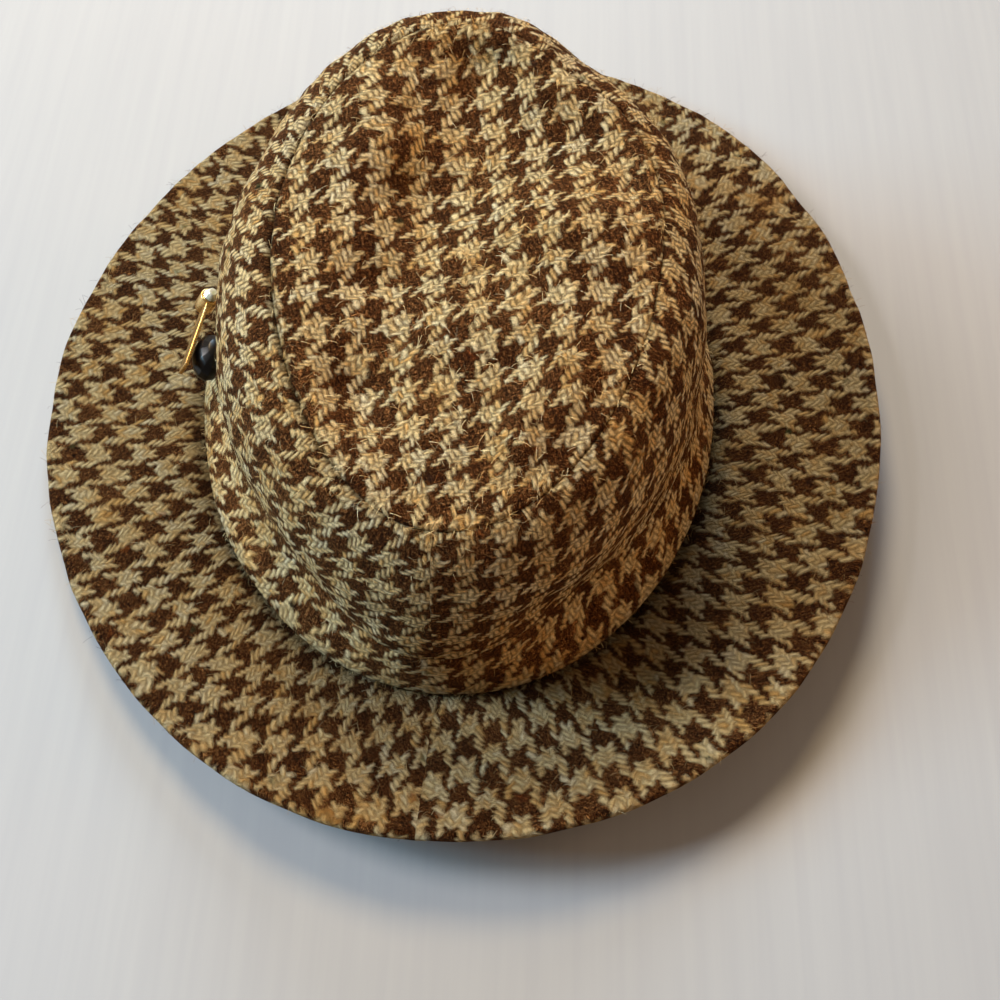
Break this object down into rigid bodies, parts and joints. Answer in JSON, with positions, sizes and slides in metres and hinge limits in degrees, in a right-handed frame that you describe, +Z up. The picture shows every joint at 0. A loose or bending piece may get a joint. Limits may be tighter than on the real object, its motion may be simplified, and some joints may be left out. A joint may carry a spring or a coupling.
{
  "type": "fedora hat",
  "caption": "Soft fedora in houndstooth tweed with a pinched teardrop crown, a band of the same cloth, a small ornament pinned at its side and a brim turned up behind.",
  "frame": {"origin": "on the surface that the hat rests on, under the middle of the hat's box", "axes": "+Z up out of the crown, +Y towards the front of the hat, +X towards the wearer's right; millimetres in the source, metres in the row"},
  "size_m": [0.2826, 0.3205, 0.103],
  "materials": {
    "brim_tweed": "woven wool, matt and slightly hairy",
    "crown_tweed": "woven wool, matt and slightly hairy",
    "band_tweed": "woven wool, folded, matt",
    "gold_metal": "polished, gold coloured",
    "black_stone": "cut facets, high gloss",
    "clear_crystal": "cut facets, high gloss"
  },
  "bodies": {
    "root": {"brim": "brim_tweed", "crown_side": "crown_tweed", "crown_tip": "crown_tweed", "hat_band": "band_tweed", "pin_bar": "gold_metal", "pin_stone": "black_stone", "pin_crystal": "clear_crystal"}
  },
  "joints": []
}
